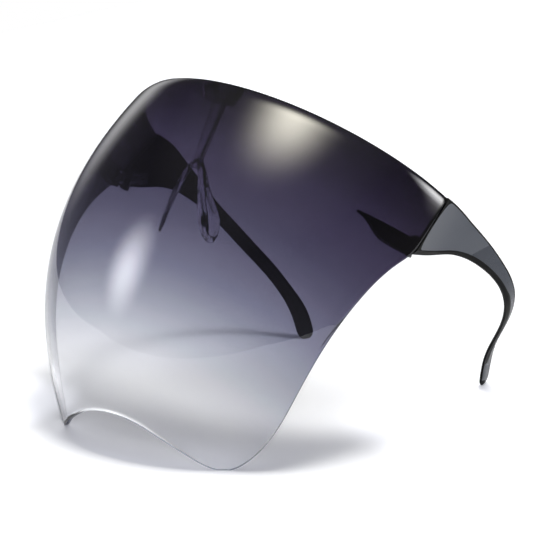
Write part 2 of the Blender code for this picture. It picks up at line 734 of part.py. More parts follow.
def make_nose_mount(material, parent):
    """A wedge behind the middle of the brow, with the slot that takes the nose piece's tongue."""
    top = BROW_HEIGHT - MOUNT_BROW_MARGIN
    rows, columns = MOUNT_ROWS, MOUNT_COLUMNS
    front, rear = [], []
    for j in range(rows + 1):
        share = j / rows
        height = top - MOUNT_HEIGHT * share
        half = MOUNT_TOP_HALF_WIDTH + (MOUNT_LOW_HALF_WIDTH - MOUNT_TOP_HALF_WIDTH) * share
        depth = MOUNT_TOP_DEPTH + (MOUNT_LOW_DEPTH - MOUNT_TOP_DEPTH) * share
        middle = seat_behind_brow(0.0, height)
        for i in range(columns + 1):
            across = half * (2.0 * i / columns - 1.0)
            front.append(Vector((across, seat_behind_brow(across, height), height)))
            rear.append(Vector((across, middle + depth, height)))
    width = columns + 1
    count = len(front)
    faces = []
    for j in range(rows):
        for i in range(columns):
            first = j * width + i
            quad = (first, first + 1, first + width + 1, first + width)
            faces.append(quad)
            faces.append(tuple(count + k for k in reversed(quad)))
    rim = [i for i in range(width)]
    rim += [j * width + columns for j in range(1, rows + 1)]
    rim += [rows * width + i for i in range(columns - 1, -1, -1)]
    rim += [j * width for j in range(rows - 1, 0, -1)]
    for k, first in enumerate(rim):
        after = rim[(k + 1) % len(rim)]
        faces.append((first, after, after + count, first + count))
    mesh = facing_out(mesh_from("nose_mount", front + rear, faces))
    mount = link("nose_mount", mesh, material, parent)
    root, down = stem_root()
    slot_size = (TONGUE_WIDTH + 2.0 * SEAT_GAP, TONGUE_THICKNESS + 2.0 * SEAT_GAP)
    slot_length = TONGUE_LENGTH + SEAT_GAP
    across = Vector((1.0, 0.0, 0.0))
    centre = root - down * (slot_length - OVERRUN) / 2.0
    axes = (across, down.cross(across), down)
    subtract(mount, [block(centre, axes, (*slot_size, slot_length + OVERRUN))])
    shade(mount.data)
    return mount


def stem_root():
    """Where the stem leaves the mount's underside, and the unit vector down the stem."""
    low = BROW_HEIGHT - MOUNT_BROW_MARGIN - MOUNT_HEIGHT
    face = seat_behind_brow(0.0, low)
    root = Vector((0.0, face + MOUNT_LOW_DEPTH - STEM_TOP_THICKNESS / 2.0 - SEAT_GAP, low))
    return root, Vector((0.0, 0.0, -1.0))


def width_share(share):
    """Share of the pad's full width at a share of its length."""
    places = [place for place, width in PAD_WIDTH_SHARES]
    widths = [width for place, width in PAD_WIDTH_SHARES]
    return float(np.interp(share, places, widths))


def make_nose_piece(material, parent):
    root, down = stem_root()
    start = root + down * SEAT_GAP
    rings = []
    across, through = Vector((1.0, 0.0, 0.0)), Vector((0.0, 1.0, 0.0))
    for k in range(STEM_STEPS + 1):
        share = k / STEM_STEPS
        width = STEM_TOP_WIDTH + (STEM_LOW_WIDTH - STEM_TOP_WIDTH) * share
        depth = STEM_TOP_THICKNESS + (STEM_LOW_THICKNESS - STEM_TOP_THICKNESS) * share
        centre = start + down * STEM_LENGTH * share
        rings.append(oval_ring(centre, across, through, width, depth))
    stem = facing_out(mesh_from("stem", *loft(rings)))
    nose = link("nose_piece", stem, material, parent)
    fork = start + down * (STEM_LENGTH - STEM_LOW_THICKNESS)
    arms = [pad_mesh(fork, side) for side in (1.0, -1.0)]
    tongue_centre = start - down * (TONGUE_LENGTH / 2.0 - OVERRUN / 2.0 - SEAT_GAP)
    tongue_sizes = (TONGUE_WIDTH, TONGUE_THICKNESS, TONGUE_LENGTH + OVERRUN - SEAT_GAP)
    tongue = block(tongue_centre, (across, down.cross(across), down), tongue_sizes)
    unite(nose, arms + [tongue])
    shade(nose.data, BLUNT_ANGLE)
    return nose


def oval_ring(centre, across, through, width, depth):
    """A rounded section: a superellipse with its width across and its depth through."""
    ring = []
    for k in range(PAD_SIDES):
        angle = 2.0 * math.pi * (k + 0.5) / PAD_SIDES
        cosine, sine = math.cos(angle), math.sin(angle)
        x = math.copysign(abs(cosine) ** OVAL_POWER, cosine) * width / 2.0
        y = math.copysign(abs(sine) ** OVAL_POWER, sine) * depth / 2.0
        ring.append(centre + across * x + through * y)
    return ring


def pad_mesh(fork, side):
    """One arm of the fork and its teardrop pad, splayed back along the side of the nose."""
    splay = math.radians(PAD_SPLAY)
    setback_share, length_share = FORK_PATH_SHARES
    points = [
        fork + Vector((0.0, 0.0, PAD_NECK_WIDTH / 3.0)),
        fork + Vector((side * FORK_SPREAD, PAD_SETBACK * setback_share, -PAD_LENGTH * length_share)),
    ]
    for spread_share, setback_share, length_share in PAD_PATH_SHARES:
        offset = (side * PAD_SPREAD * spread_share, PAD_SETBACK * setback_share, -PAD_LENGTH * length_share)
        points.append(fork + Vector(offset))
    path = smooth_curve([tuple(point) for point in points], np.linspace(0.0, 1.0, PAD_STATIONS))
    rings = []
    for k in range(PAD_STATIONS):
        share = k / (PAD_STATIONS - 1.0)
        ahead = Vector(path[min(k + 1, PAD_STATIONS - 1)] - path[max(k - 1, 0)]).normalized()
        broad = Vector((side * math.sin(splay), math.cos(splay), 0.0))
        broad = (broad - ahead * broad.dot(ahead)).normalized()
        through = ahead.cross(broad)
        full = width_share(share) * PAD_WIDTH
        beyond = max(0.0, share - PAD_TIP_SHARE) / (1.0 - PAD_TIP_SHARE)
        depth = PAD_THICKNESS * (1.0 + (PAD_TIP_THICKNESS_SHARE - 1.0) * beyond)
        rings.append(oval_ring(Vector(path[k]), broad, through, full, depth))
    return facing_out(mesh_from("pad", *loft(rings)))


def mirrored(obj, name, parent, location):
    """A copy of a left-hand piece for the right-hand side, with its own mesh."""
    mesh = obj.data.copy()
    mesh.name = name
    bm = bmesh.new()
    bm.from_mesh(mesh)
    bmesh.ops.scale(bm, vec=Vector((-1.0, 1.0, 1.0)), verts=bm.verts)
    bmesh.ops.reverse_faces(bm, faces=bm.faces)
    bm.to_mesh(mesh)
    bm.free()
    copy = bpy.data.objects.new(name, mesh)
    bpy.context.scene.collection.objects.link(copy)
    copy.parent = parent
    copy.location = location
    return copy


def add_empty(name, parent, location=(0.0, 0.0, 0.0)):
    empty = bpy.data.objects.new(name, None)
    bpy.context.scene.collection.objects.link(empty)
    empty.parent = parent
    empty.location = location
    return empty


def lowest(points, pitch):
    """Lowest level of some points once the worn model is tipped back by the pitch."""
    return float((points[:, 2] * math.cos(pitch) - points[:, 1] * math.sin(pitch)).min())


def rest_pitch(visor_points, temple_points):
    """The pitch at which the lobes of the visor and the ear tips reach the same level."""
    low, high = 0.0, math.radians(80.0)
    for _ in range(60):
        pitch = (low + high) / 2.0
        if lowest(temple_points, pitch) > lowest(visor_points, pitch):
            low = pitch
        else:
            high = pitch
    return (low + high) / 2.0


def cut_foot(obj, offset, pitch, level):
    """Cuts a small flat where the piece meets the ground."""
    normal = Vector((0.0, math.sin(pitch), -math.cos(pitch)))
    point = -normal * (level + FOOT_DEPTH) - offset
    bm = bmesh.new()
    bm.from_mesh(obj.data)
    geometry = bm.verts[:] + bm.edges[:] + bm.faces[:]
    cut = bmesh.ops.bisect_plane(bm, geom=geometry, plane_co=point, plane_no=normal, clear_outer=True)
    edges = [item for item in cut["geom_cut"] if isinstance(item, bmesh.types.BMEdge)]
    bmesh.ops.edgeloop_fill(bm, edges=edges)
    bmesh.ops.recalc_face_normals(bm, faces=bm.faces)
    bm.to_mesh(obj.data)
    bm.free()
    shade(obj.data, BLUNT_ANGLE)


def build():
    clear_scene()
    tinted = make_material("tinted_polycarbonate", VISOR_TINT, roughness=0.03, alpha=0.55, transmission=1.0)
    black = make_material("gloss_black_plastic", TEMPLE_BLACK, roughness=0.14)
    metal = make_material("black_nickel_brass", HINGE_METAL, roughness=0.3, metallic=1.0)
    clear = make_material("clear_plastic", NOSE_CLEAR, roughness=0.06, alpha=0.6, transmission=1.0)

    stand = add_empty("resting_pose", None)
    axis = hinge_axis()
    left_pivot = add_empty("left_temple_pivot", stand, axis)
    right_pivot = add_empty("right_temple_pivot", stand, (-axis.x, axis.y, axis.z))
    centre = Vector((0.0, 0.0, 0.0))

    visor = make_visor(tinted, stand)
    make_nose_mount(clear, stand)
    make_nose_piece(clear, stand)

    stack_step = KNUCKLE_HEIGHT + SEAT_GAP
    end_piece = make_end_piece(black, stand)
    rear, rearward, inward = end_piece_plane()
    seat = Seat(axis, -rearward, -inward, 0.0, 0.0, centre)
    end_leaf = make_leaf("left_end_leaf", metal, stand, seat, (axis.z, axis.z + 2.0 * stack_step))
    fixed = [end_piece, end_leaf, make_pin(metal, stand, axis)]
    fixed += make_leaf_screws("left_end_leaf_screw_", metal, stand, seat, end_piece)

    temple = make_temple(black, left_pivot, axis)
    face, direction, outward = temple_plane()
    seat = Seat(axis, direction, outward, TEMPLE_LEAF_LIFT, temple_lower_slope(), axis)
    temple_leaf = make_leaf("left_temple_leaf", metal, left_pivot, seat, (axis.z + stack_step,))
    moving = [temple, temple_leaf]
    moving += make_leaf_screws("left_temple_leaf_screw_", metal, left_pivot, seat, temple)

    temple_points = np.array([vertex.co + axis for vertex in temple.data.vertices])
    visor_points = np.array([vertex.co for vertex in visor.data.vertices])
    pitch = rest_pitch(visor_points, temple_points)
    level = lowest(visor_points, pitch)
    cut_foot(visor, centre, pitch, level)
    cut_foot(temple, axis, pitch, level)

    for piece in fixed:
        mirrored(piece, piece.name.replace("left", "right", 1), stand, piece.location)
    for piece in moving:
        mirrored(piece, piece.name.replace("left", "right", 1), right_pivot, piece.location)

    stand.rotation_euler = (-pitch, 0.0, 0.0)
    bpy.context.view_layer.update()
    corners = []
    for obj in bpy.context.scene.objects:
        if obj.type == "MESH":
            corners += [obj.matrix_world @ vertex.co for vertex in obj.data.vertices]
    corners = np.array(corners)
    low, high = corners.min(axis=0), corners.max(axis=0)
    stand.location = (0.0, -(low[1] + high[1]) / 2.0, -low[2])
    bpy.context.view_layer.update()
    print("pitch", round(math.degrees(pitch), 3))
    print("left hinge axis at", [round(value, 5) for value in left_pivot.matrix_world.translation])


build()
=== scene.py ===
import json
import math

import bpy
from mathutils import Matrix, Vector

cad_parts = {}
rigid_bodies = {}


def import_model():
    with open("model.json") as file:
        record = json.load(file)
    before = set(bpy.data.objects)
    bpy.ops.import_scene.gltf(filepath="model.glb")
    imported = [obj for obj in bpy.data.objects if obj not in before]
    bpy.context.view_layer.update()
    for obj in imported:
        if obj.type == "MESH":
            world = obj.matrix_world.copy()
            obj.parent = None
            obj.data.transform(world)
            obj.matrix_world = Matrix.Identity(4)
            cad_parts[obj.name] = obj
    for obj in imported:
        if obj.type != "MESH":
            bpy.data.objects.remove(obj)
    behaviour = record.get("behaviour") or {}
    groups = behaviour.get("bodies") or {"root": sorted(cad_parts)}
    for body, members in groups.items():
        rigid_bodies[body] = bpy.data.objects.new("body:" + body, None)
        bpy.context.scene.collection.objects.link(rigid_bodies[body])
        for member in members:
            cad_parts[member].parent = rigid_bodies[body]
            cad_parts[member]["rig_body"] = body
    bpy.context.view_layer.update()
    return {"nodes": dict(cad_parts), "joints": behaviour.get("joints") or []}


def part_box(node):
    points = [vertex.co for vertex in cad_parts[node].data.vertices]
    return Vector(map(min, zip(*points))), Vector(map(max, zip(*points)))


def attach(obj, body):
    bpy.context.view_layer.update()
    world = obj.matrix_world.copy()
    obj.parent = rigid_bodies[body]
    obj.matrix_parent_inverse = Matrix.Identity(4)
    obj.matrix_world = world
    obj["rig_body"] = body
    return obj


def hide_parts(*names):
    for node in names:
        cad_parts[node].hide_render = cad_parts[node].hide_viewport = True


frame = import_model()

# lengths are in metres, as in the frame, and angles in degrees
mm = 0.001
scene = bpy.context.scene
scene.view_settings.view_transform = "Standard"
wornUp = Vector(frame["joints"][0]["axis"])  # the hinges stand upright on the wearer
wornBack = Vector((0.0, wornUp.z, -wornUp.y))
print("frame loaded,", len(frame["nodes"]), "parts")


# small helpers
def deselectAll():
    if bpy.context.object and bpy.context.object.mode != "OBJECT":
        bpy.ops.object.mode_set(mode="OBJECT")
    bpy.ops.object.select_all(action="DESELECT")


def makeActive(piece):
    deselectAll()
    piece.select_set(True)
    bpy.context.view_layer.objects.active = piece


def linearColour(hexColour):
    # sRGB hex, as in a paint program, to the linear values that the shaders want
    channels = [int(hexColour[k:k + 2], 16) / 255.0 for k in (1, 3, 5)]
    linear = [c / 12.92 if c <= 0.04045 else ((c + 0.055) / 1.055) ** 2.4 for c in channels]
    return (*linear, 1.0)


def addNode(material, kind, settings=None, links=None):
    # settings go to the node's own fields, or to its inputs by name or number
    # links are pairs of an input's name or number and the socket that feeds it
    node = material.node_tree.nodes.new(kind)
    for name, value in (settings or {}).items():
        if isinstance(name, str) and hasattr(node, name):
            setattr(node, name, value)
        else:
            node.inputs[name].default_value = value
    for name, socket in (links or {}).items():
        material.node_tree.links.new(socket, node.inputs[name])
    return node


def newMaterial(name):
    material = bpy.data.materials.new(name)
    material.use_nodes = True
    material.node_tree.nodes.clear()
    return material


def setRamp(node, stops):
    ramp = node.color_ramp
    while len(ramp.elements) > 1:
        ramp.elements.remove(ramp.elements[-1])
    ramp.elements[0].position = stops[0][0]
    ramp.elements[0].color = stops[0][1]
    for position, colour in stops[1:]:
        ramp.elements.new(position).color = colour


# triangles pair up where they turn less than the first angle, into quads no more skewed than the second
copiedMesh = {"weld": 0.002 * mm, "quadTurn": 25, "quadSkew": 60}


def copyOfPart(nodeName, newName, materials):
    # the frame's own mesh, welded and with its triangles paired to quads again
    piece = bpy.data.objects.new(newName, frame["nodes"][nodeName].data.copy())
    piece.data.name = newName
    piece.data.materials.clear()
    for material in materials:
        piece.data.materials.append(material)
    scene.collection.objects.link(piece)
    makeActive(piece)
    bpy.ops.object.mode_set(mode="EDIT")
    bpy.ops.mesh.select_all(action="SELECT")
    bpy.ops.mesh.remove_doubles(threshold=copiedMesh["weld"])
    bpy.ops.mesh.customdata_custom_splitnormals_clear()
    bpy.ops.mesh.tris_convert_to_quads(face_threshold=math.radians(copiedMesh["quadTurn"]),
                                       shape_threshold=math.radians(copiedMesh["quadSkew"]))
    bpy.ops.object.mode_set(mode="OBJECT")
    return piece


def selectOnly(piece, kind, isWanted):
    # leaves the piece in edit mode with only the wanted faces or vertices selected
    makeActive(piece)
    bpy.ops.object.mode_set(mode="EDIT")
    bpy.ops.mesh.select_mode(type=kind)
    bpy.ops.mesh.select_all(action="DESELECT")
    bpy.ops.object.mode_set(mode="OBJECT")
    elements = piece.data.polygons if kind == "FACE" else piece.data.vertices
    for element in elements:
        element.select = isWanted(element)
    bpy.ops.object.mode_set(mode="EDIT")


def deleteUnselectedFaces():
    bpy.ops.mesh.select_all(action="INVERT")
    bpy.ops.mesh.delete(type="FACE")
    bpy.ops.object.mode_set(mode="OBJECT")


def applyModifier(piece, kind, **settings):
    makeActive(piece)
    modifier = piece.modifiers.new(kind.title(), kind)
    for name, value in settings.items():
        setattr(modifier, name, value)
    bpy.ops.object.modifier_apply(modifier=modifier.name)


def creaseSharpEdges(piece, angle):
    makeActive(piece)
    bpy.ops.object.mode_set(mode="EDIT")
    bpy.ops.mesh.select_mode(type="EDGE")
    bpy.ops.mesh.select_all(action="DESELECT")
    bpy.ops.mesh.edges_select_sharp(sharpness=math.radians(angle))
    bpy.ops.transform.edge_crease(value=1.0)
    bpy.ops.mesh.select_mode(type="FACE")
    bpy.ops.object.mode_set(mode="OBJECT")


def smoothWithSubdivision(piece, levels, **settings):
    applyModifier(piece, "SUBSURF", levels=levels, render_levels=levels, **settings)


def roundEdges(piece, width, sharperThan, segments, **settings):
    applyModifier(piece, "BEVEL", width=width, segments=segments, limit_method="ANGLE",
                  angle_limit=math.radians(sharperThan), use_clamp_overlap=True, **settings)


def finishPiece(piece, nodeName, smoothAngle):
    makeActive(piece)
    bpy.ops.object.shade_smooth_by_angle(angle=math.radians(smoothAngle))
    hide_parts(nodeName)
    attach(piece, frame["nodes"][nodeName]["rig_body"])


# materials
noiseSpread = {"From Min": 0.3, "From Max": 0.7}  # most of a noise's values lie between these

# injection-moulded polycarbonate, dip-dyed: glass-clear at the chin and near black-violet at the brow
shieldLook = {
    "rampBehind": 19.0 * mm,  # the dye is measured from the floor, this far behind the visor's front
    "rampLength": 140.0 * mm,
    "tintLean": 0.30,  # the dye line climbs forward, so the sides are darker than the front
    "stops": (
        (0.000, "#f1f2f5"), (0.071, "#e7e8eb"), (0.129, "#d4d5db"), (0.186, "#b8bbc5"), (0.243, "#9ea0ad"),
        (0.300, "#858798"), (0.357, "#6f6f84"), (0.414, "#636277"), (0.471, "#545268"), (0.543, "#454258"),
        (0.629, "#3b364c"), (0.714, "#312c41"), (0.800, "#221d2e"), (0.900, "#16121e"),
    ),
    "ior": 1.585,
    "smear": 22.2 * mm,
    "smearSpread": {"From Min": 0.35, "From Max": 0.75},  # noise values from no smear to the softest gloss
}


def dyedPolycarbonate(name, depth, clarity, roughest):
    # depth is how many walls of dye the light crosses: one through the face, more along a cut edge, where a
    # large depth also paints a dark line
    look = shieldLook
    material = newMaterial(name)
    place = addNode(material, "ShaderNodeTexCoord")
    dyeAxis = wornUp + look["tintLean"] * wornBack
    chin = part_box("visor")[0]
    rampStart = Vector((0.0, chin.y + look["rampBehind"], 0.0)).dot(dyeAxis)
    height = addNode(material, "ShaderNodeVectorMath", {"operation": "DOT_PRODUCT", 1: dyeAxis},
                     {0: place.outputs["Object"]})
    dyeing = addNode(material, "ShaderNodeMapRange",
                     {"From Min": rampStart, "From Max": rampStart + look["rampLength"]},
                     {"Value": height.outputs["Value"]})
    tint = addNode(material, "ShaderNodeValToRGB", links={"Fac": dyeing.outputs["Result"]})
    stops = [(position, linearColour(colour)) for position, colour in look["stops"]]
    setRamp(tint, [(position, (r ** depth, g ** depth, b ** depth, 1.0)) for position, (r, g, b, _) in stops])
    # wiping leaves faint smears, which only show as a slightly softer gloss
    smears = addNode(material, "ShaderNodeTexNoise",
                     {"Scale": 1.0 / look["smear"], "Detail": 3.0, "Distortion": 1.5},
                     {"Vector": place.outputs["Object"]})
    gloss = addNode(material, "ShaderNodeMapRange",
                    {**look["smearSpread"], "To Min": 0.0, "To Max": roughest},
                    {"Value": smears.outputs["Fac"]})
    plastic = addNode(material, "ShaderNodeBsdfPrincipled",
                      {"IOR": look["ior"], "Transmission Weight": clarity},
                      {"Base Color": tint.outputs["Color"], "Roughness": gloss.outputs["Result"]})
    # lamps shine through the dyed wall instead of casting a solid shadow
    lampRay = addNode(material, "ShaderNodeLightPath")
    through = addNode(material, "ShaderNodeBsdfTransparent", links={"Color": tint.outputs["Color"]})
    mixed = addNode(material, "ShaderNodeMixShader",
                    links={0: lampRay.outputs["Is Shadow Ray"], 1: plastic.outputs[0], 2: through.outputs[0]})
    addNode(material, "ShaderNodeOutputMaterial", links={"Surface": mixed.outputs[0]})
    return material


# black nylon: the mould is polished for the temples' show faces, satin at their ears and etched elsewhere
# cloud is the distance over which the gloss drifts, and flow is the grain of the skin, which is drawn coarser
# than the real tenth of a millimetre so that it shows
showLook = {
    "name": "moulded black nylon, polished", "colour": "#0b0b0d", "roughness": (0.06, 0.12), "ior": 1.62,
    "specular": 1.0, "tint": "#ccd8f4", "coat": 0.8, "cloud": 11.1 * mm, "flow": 0.9 * mm,
}
satinLook = {
    "name": "moulded black nylon, satin", "colour": "#0a0a0c", "roughness": (0.24, 0.32), "ior": 1.62,
    "specular": 0.95, "tint": "#d2dcf4", "coat": 0.0, "cloud": 11.1 * mm, "flow": 0.9 * mm,
}
etchedLook = {
    "name": "moulded black nylon, etched", "colour": "#08080a", "roughness": (0.36, 0.48), "ior": 1.52,
    "specular": 0.10, "tint": "#ffffff", "coat": 0.0, "cloud": 11.1 * mm, "flow": 0.5 * mm,
}


def blackNylon(look):
    material = newMaterial(look["name"])
    place = addNode(material, "ShaderNodeTexCoord")
    cloud = addNode(material, "ShaderNodeTexNoise", {"Scale": 1.0 / look["cloud"], "Detail": 2.0},
                    {"Vector": place.outputs["Object"]})
    low, high = look["roughness"]
    gloss = addNode(material, "ShaderNodeMapRange", {**noiseSpread, "To Min": low, "To Max": high},
                    {"Value": cloud.outputs["Fac"]})
    skin = addNode(material, "ShaderNodeTexNoise", {"Scale": 1.0 / look["flow"], "Detail": 1.0},
                   {"Vector": place.outputs["Object"]})
    relief = addNode(material, "ShaderNodeBump", {"Strength": 0.05, "Distance": 0.02 * mm},
                     {"Height": skin.outputs["Fac"]})
    plastic = addNode(material, "ShaderNodeBsdfPrincipled",
                      {"Base Color": linearColour(look["colour"]), "IOR": look["ior"],
                       "Specular IOR Level": look["specular"], "Specular Tint": linearColour(look["tint"]),
                       "Coat Weight": look["coat"], "Coat Roughness": 0.04},
                      {"Roughness": gloss.outputs["Result"], "Normal": relief.outputs["Normal"]})
    addNode(material, "ShaderNodeOutputMaterial", links={"Surface": plastic.outputs[0]})
    return material


# black-nickel-plated stamped brass: a dark metal with stamping lines, drawn coarse enough to show
hingeLook = {"colour": "#5a5a5e", "roughness": (0.22, 0.36), "lineLength": 3.5 * mm, "lineSlimness": 12.0}


def platedBrass():
    look = hingeLook
    material = newMaterial("black-nickel-plated stamped brass")
    place = addNode(material, "ShaderNodeTexCoord")
    drawn = addNode(material, "ShaderNodeMapping", {"Scale": (1.0, 1.0, look["lineSlimness"])},
                    {"Vector": place.outputs["Object"]})
    lines = addNode(material, "ShaderNodeTexNoise", {"Scale": 1.0 / look["lineLength"], "Detail": 3.0},
                    {"Vector": drawn.outputs["Vector"]})
    low, high = look["roughness"]
    gloss = addNode(material, "ShaderNodeMapRange", {**noiseSpread, "To Min": low, "To Max": high},
                    {"Value": lines.outputs["Fac"]})
    metal = addNode(material, "ShaderNodeBsdfPrincipled",
                    {"Base Color": linearColour(look["colour"]), "Metallic": 1.0},
                    {"Roughness": gloss.outputs["Result"]})
    addNode(material, "ShaderNodeOutputMaterial", links={"Surface": metal.outputs[0]})
    return material


# clear soft PVC, moulded: glassy and a little smoky where it is thick, with a slightly wavy skin
noseLook = {
    "colour": "#fbf9fd", "ior": 1.53, "roughness": (0.0, 0.04), "wave": 6.25 * mm,
    "smoke": "#6b6570", "density": 28.0,  # absorption per metre of plastic
    "shadow": "#d9d7de",
}


def clearVinyl():
    look = noseLook
    material = newMaterial("clear moulded PVC")
    place = addNode(material, "ShaderNodeTexCoord")
    wave = addNode(material, "ShaderNodeTexNoise", {"Scale": 1.0 / look["wave"], "Detail": 2.0},
                   {"Vector": place.outputs["Object"]})
    low, high = look["roughness"]
    gloss = addNode(material, "ShaderNodeMapRange", {**noiseSpread, "To Min": low, "To Max": high},
                    {"Value": wave.outputs["Fac"]})
    relief = addNode(material, "ShaderNodeBump", {"Strength": 0.08, "Distance": 0.05 * mm},
                     {"Height": wave.outputs["Fac"]})
    plastic = addNode(material, "ShaderNodeBsdfPrincipled",
                      {"Base Color": linearColour(look["colour"]), "IOR": look["ior"],
                       "Transmission Weight": 1.0},
                      {"Roughness": gloss.outputs["Result"], "Normal": relief.outputs["Normal"]})
    # as on the visor, lamps shine through and leave a pale shadow
    lampRay = addNode(material, "ShaderNodeLightPath")
    through = addNode(material, "ShaderNodeBsdfTransparent", {"Color": linearColour(look["shadow"])})
    mixed = addNode(material, "ShaderNodeMixShader",
                    links={0: lampRay.outputs["Is Shadow Ray"], 1: plastic.outputs[0], 2: through.outputs[0]})
    smoke = addNode(material, "ShaderNodeVolumeAbsorption",
                    {"Color": linearColour(look["smoke"]), "Density": look["density"]})
    addNode(material, "ShaderNodeOutputMaterial",
            links={"Surface": mixed.outputs[0], "Volume": smoke.outputs[0]})
    return material


visorPlastic = dyedPolycarbonate("dip-dyed moulded polycarbonate", depth=1.0, clarity=1.0, roughest=0.004)
# the cut edge: partly the dye seen along it, partly a painted dark line that stands in for the dark
# refraction at the edge, so it is drawn twelve walls deep and nearly opaque
visorRim = dyedPolycarbonate("dyed cut edge with painted dark line", depth=12.0, clarity=0.1,
                             roughest=0.12)
polishedNylon = blackNylon(showLook)
satinNylon = blackNylon(satinLook)
etchedNylon = blackNylon(etchedLook)
hingeMetal = platedBrass()
noseVinyl = clearVinyl()
print("materials made")

# face shield: the shell's outer skin with its brow rolled back, thickened again, edges softened
shieldPiece = {
    "skinAngle": 50, "levels": 2,
    "browDrop": 13.2 * mm,  # the rim counts as brow down to this far below its highest point
    "browRoll": 1.0 * mm, "rollWidth": 5.0 * mm,
    "wall": 1.6 * mm,
    "rimRound": 0.42 * mm, "rimAngle": 50, "smoothAngle": 35,
}
shield = copyOfPart("visor", "face_shield", [visorPlastic, visorRim])
frontFace = min(shield.data.polygons, key=lambda face: face.center.y).index
selectOnly(shield, "FACE", lambda face: face.index == frontFace)
bpy.ops.mesh.faces_select_linked_flat(sharpness=math.radians(shieldPiece["skinAngle"]))
deleteUnselectedFaces()
smoothWithSubdivision(shield, shieldPiece["levels"], boundary_smooth="PRESERVE_CORNERS")
selectOnly(shield, "VERT", lambda vertex: False)
bpy.ops.mesh.select_non_manifold()
bpy.ops.object.mode_set(mode="OBJECT")
browLine = max(vertex.co.dot(wornUp) for vertex in shield.data.vertices) - shieldPiece["browDrop"]
browRim = {vertex.index for vertex in shield.data.vertices
           if vertex.select and vertex.co.dot(wornUp) > browLine}
selectOnly(shield, "VERT", lambda vertex: vertex.index in browRim)
bpy.ops.transform.shrink_fatten(value=-shieldPiece["browRoll"], use_proportional_edit=True,
                                proportional_edit_falloff="SHARP", use_proportional_connected=True,
                                proportional_size=shieldPiece["rollWidth"])
bpy.ops.object.mode_set(mode="OBJECT")
rimSlot = 1
applyModifier(shield, "SOLIDIFY", thickness=shieldPiece["wall"], offset=-1.0, use_even_offset=True,
              material_offset_rim=rimSlot)
roundEdges(shield, shieldPiece["rimRound"], shieldPiece["rimAngle"], segments=2, material=rimSlot)
finishPiece(shield, "visor", shieldPiece["smoothAngle"])
print("face shield done,", len(shield.data.polygons), "faces")

# temples: the outer face is polished to about the ear and satin beyond, the rest is etched
templePiece = {
    "creaseAngle": 28, "levels": 2, "smoothAngle": 30,
    "showAngle": 20,  # the outer face is followed over edges up to this sharp
    "chamferTurn": -0.25,  # faces that look down more than this are its chamfer and stay etched
    "satinFrom": -4.0 * mm,  # where the ear begins, along wornBack
    "border": 0.5 * mm,  # the outer face stays etched this far in from its edges
}
polishedSlot, satinSlot = 1, 2  # every face starts in slot 0, etched
for side in ("left", "right"):
    temple = copyOfPart(side + "_temple", side + "_temple_blade", [etchedNylon, polishedNylon, satinNylon])
    creaseSharpEdges(temple, templePiece["creaseAngle"])
    outermost = max(temple.data.polygons,
                    key=lambda face: abs(face.normal.x) * (face.normal.x * face.center.x > 0.0)).index
    selectOnly(temple, "FACE", lambda face: face.index == outermost)
    bpy.ops.mesh.faces_select_linked_flat(sharpness=math.radians(templePiece["showAngle"]))
    bpy.ops.object.mode_set(mode="OBJECT")
    showFaces = {face.index for face in temple.data.polygons
                 if face.select and face.normal.dot(wornUp) > templePiece["chamferTurn"]}
    selectOnly(temple, "FACE", lambda face: face.index in showFaces)
    bpy.ops.mesh.inset(thickness=templePiece["border"], depth=0.0, use_even_offset=False)
    bpy.ops.object.mode_set(mode="OBJECT")
    for face in temple.data.polygons:
        if face.select:
            beforeEar = face.center.dot(wornBack) < templePiece["satinFrom"]
            face.material_index = polishedSlot if beforeEar else satinSlot
    smoothWithSubdivision(temple, templePiece["levels"])
    finishPiece(temple, side + "_temple", templePiece["smoothAngle"])
print("temples done")

# end pieces
endPiece = {"creaseAngle": 30, "levels": 2, "smoothAngle": 30}
for side in ("left", "right"):
    fin = copyOfPart(side + "_end_piece", side + "_corner_fin", [etchedNylon])
    creaseSharpEdges(fin, endPiece["creaseAngle"])
    smoothWithSubdivision(fin, endPiece["levels"])
    finishPiece(fin, side + "_end_piece", endPiece["smoothAngle"])
print("end pieces done")

# nose socket: the frame's shape with rounded edges
socketPiece = {"edgeRound": 0.25 * mm, "edgeAngle": 35, "smoothAngle": 40}
socket = copyOfPart("nose_mount", "nose_socket", [noseVinyl])
roundEdges(socket, socketPiece["edgeRound"], socketPiece["edgeAngle"], segments=2)
finishPiece(socket, "nose_mount", socketPiece["smoothAngle"])

# nose bridge: the pads' broad faces are sunk inside a raised rim, then the whole moulding is softened
bridgePiece = {
    "padShare": 0.36,  # the pads take up this share of its height
    "dishAngle": 40, "rimWidth": 1.2 * mm, "dishDepth": 0.25 * mm,
    "voxel": 0.24 * mm, "smoothFactor": 0.5, "smoothSteps": 4, "smoothAngle": 60,
}
bridge = copyOfPart("nose_piece", "nose_bridge", [noseVinyl])
bridgeLow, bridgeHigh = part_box("nose_piece")
padTop = bridgeLow.z + bridgePiece["padShare"] * (bridgeHigh.z - bridgeLow.z)
for sideSign in (-1.0, 1.0):
    for faceSign in (-1.0, 1.0):
        padFaces = [face for face in bridge.data.polygons
                    if face.center.z < padTop and face.center.x * sideSign > 0.0]
        broadest = max(padFaces, key=lambda face: face.area * (face.normal.x * faceSign > 0.0))
        broadNormal = broadest.normal.copy()
        dish = {face.index for face in padFaces
                if face.normal.angle(broadNormal) < math.radians(bridgePiece["dishAngle"])}
        selectOnly(bridge, "FACE", lambda face: face.index in dish)
        bpy.ops.mesh.inset(thickness=bridgePiece["rimWidth"], depth=-bridgePiece["dishDepth"],
                           use_even_offset=False)
        bpy.ops.object.mode_set(mode="OBJECT")
applyModifier(bridge, "REMESH", mode="VOXEL", voxel_size=bridgePiece["voxel"])
